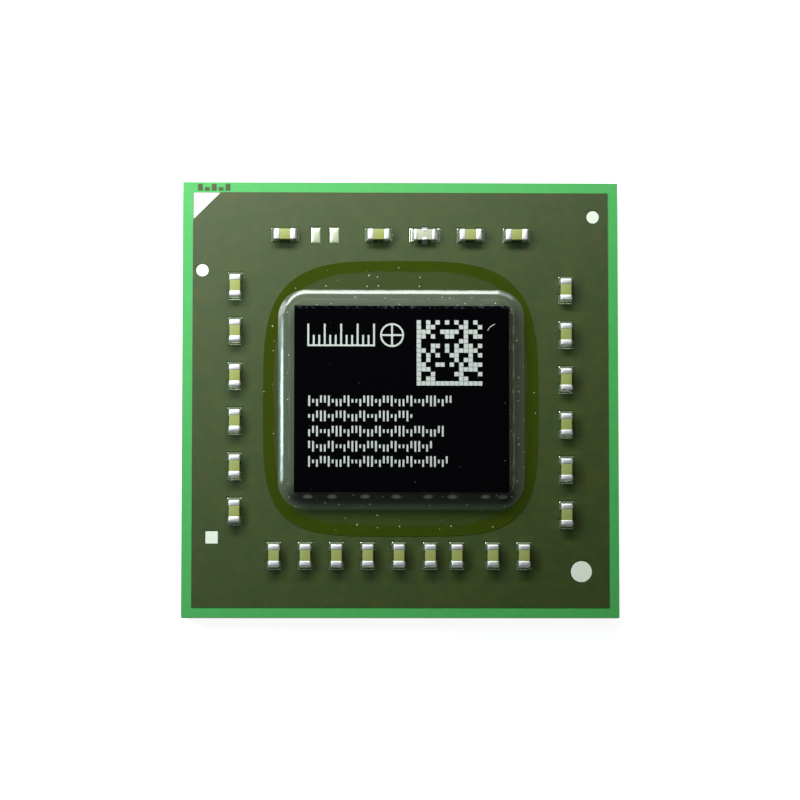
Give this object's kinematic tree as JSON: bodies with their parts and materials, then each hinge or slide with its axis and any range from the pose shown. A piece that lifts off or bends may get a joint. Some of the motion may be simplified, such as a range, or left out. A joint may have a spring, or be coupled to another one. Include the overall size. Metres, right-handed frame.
{
  "type": "ball grid array processor package",
  "caption": "Square flip-chip package: bare black die in a resin fillet on a green laminate ringed by chip capacitors, with a grid of solder balls below.",
  "frame": {"origin": "under the centre of the package, on the plane that the solder balls stand on", "axes": "+X to the right and +Y to the back as the marking reads, +Z out of the die's face; the pin-one corner is at -X, +Y"},
  "size_m": [0.019, 0.019, 0.0024],
  "materials": {
    "laminate": "satin solder mask over bare laminate",
    "masked_copper": "satin solder mask over copper",
    "bare_marker": "bright bare plated copper",
    "tinned_pad": "bright solder coat",
    "capacitor_ceramic": "satin fired ceramic",
    "feedthrough_ceramic": "satin fired ceramic",
    "tin_plating": "satin tin plating",
    "solder": "bright solder",
    "silicon": "polished black silicon",
    "laser_mark": "pale laser mark",
    "underfill_resin": "glossy grey-green resin",
    "resin_film": "wet-looking resin film",
    "copper_land": "bare copper",
    "solder_ball": "satin solder"
  },
  "bodies": {
    "root": {"substrate": "laminate", "copper_plane": "masked_copper", "pin_one_marker": "bare_marker", "fiducials": "bare_marker", "spare_pads": "tinned_pad", "capacitor_pads": "tinned_pad", "capacitor_left_1": "capacitor_ceramic", "capacitor_left_2": "capacitor_ceramic", "capacitor_left_3": "capacitor_ceramic", "capacitor_left_4": "capacitor_ceramic", "capacitor_left_5": "capacitor_ceramic", "capacitor_left_6": "capacitor_ceramic", "capacitor_right_1": "capacitor_ceramic", "capacitor_right_2": "capacitor_ceramic", "capacitor_right_3": "capacitor_ceramic", "capacitor_right_4": "capacitor_ceramic", "capacitor_right_5": "capacitor_ceramic", "capacitor_right_6": "capacitor_ceramic", "capacitor_front_1": "capacitor_ceramic", "capacitor_front_2": "capacitor_ceramic", "capacitor_front_3": "capacitor_ceramic", "capacitor_front_4": "capacitor_ceramic", "capacitor_front_5": "capacitor_ceramic", "capacitor_front_6": "capacitor_ceramic", "capacitor_front_7": "capacitor_ceramic", "capacitor_front_8": "capacitor_ceramic", "capacitor_front_9": "capacitor_ceramic", "capacitor_back_1": "capacitor_ceramic", "capacitor_back_2": "capacitor_ceramic", "capacitor_back_3": "capacitor_ceramic", "capacitor_back_4": "capacitor_ceramic", "terminals_left": "tin_plating", "terminals_right": "tin_plating", "terminals_front": "tin_plating", "terminals_back": "tin_plating", "solder_left": "solder", "solder_right": "solder", "solder_front": "solder", "solder_back": "solder", "feedthrough_body": "feedthrough_ceramic", "feedthrough_terminals": "tin_plating", "die": "silicon", "die_marking": "laser_mark", "underfill": "underfill_resin", "resin_film": "resin_film", "die_bumps": "solder", "ball_lands": "copper_land", "ball_core": "solder_ball", "ball_ring_1": "solder_ball", "ball_ring_2": "solder_ball", "ball_ring_3": "solder_ball", "ball_ring_4": "solder_ball"}
  },
  "joints": []
}
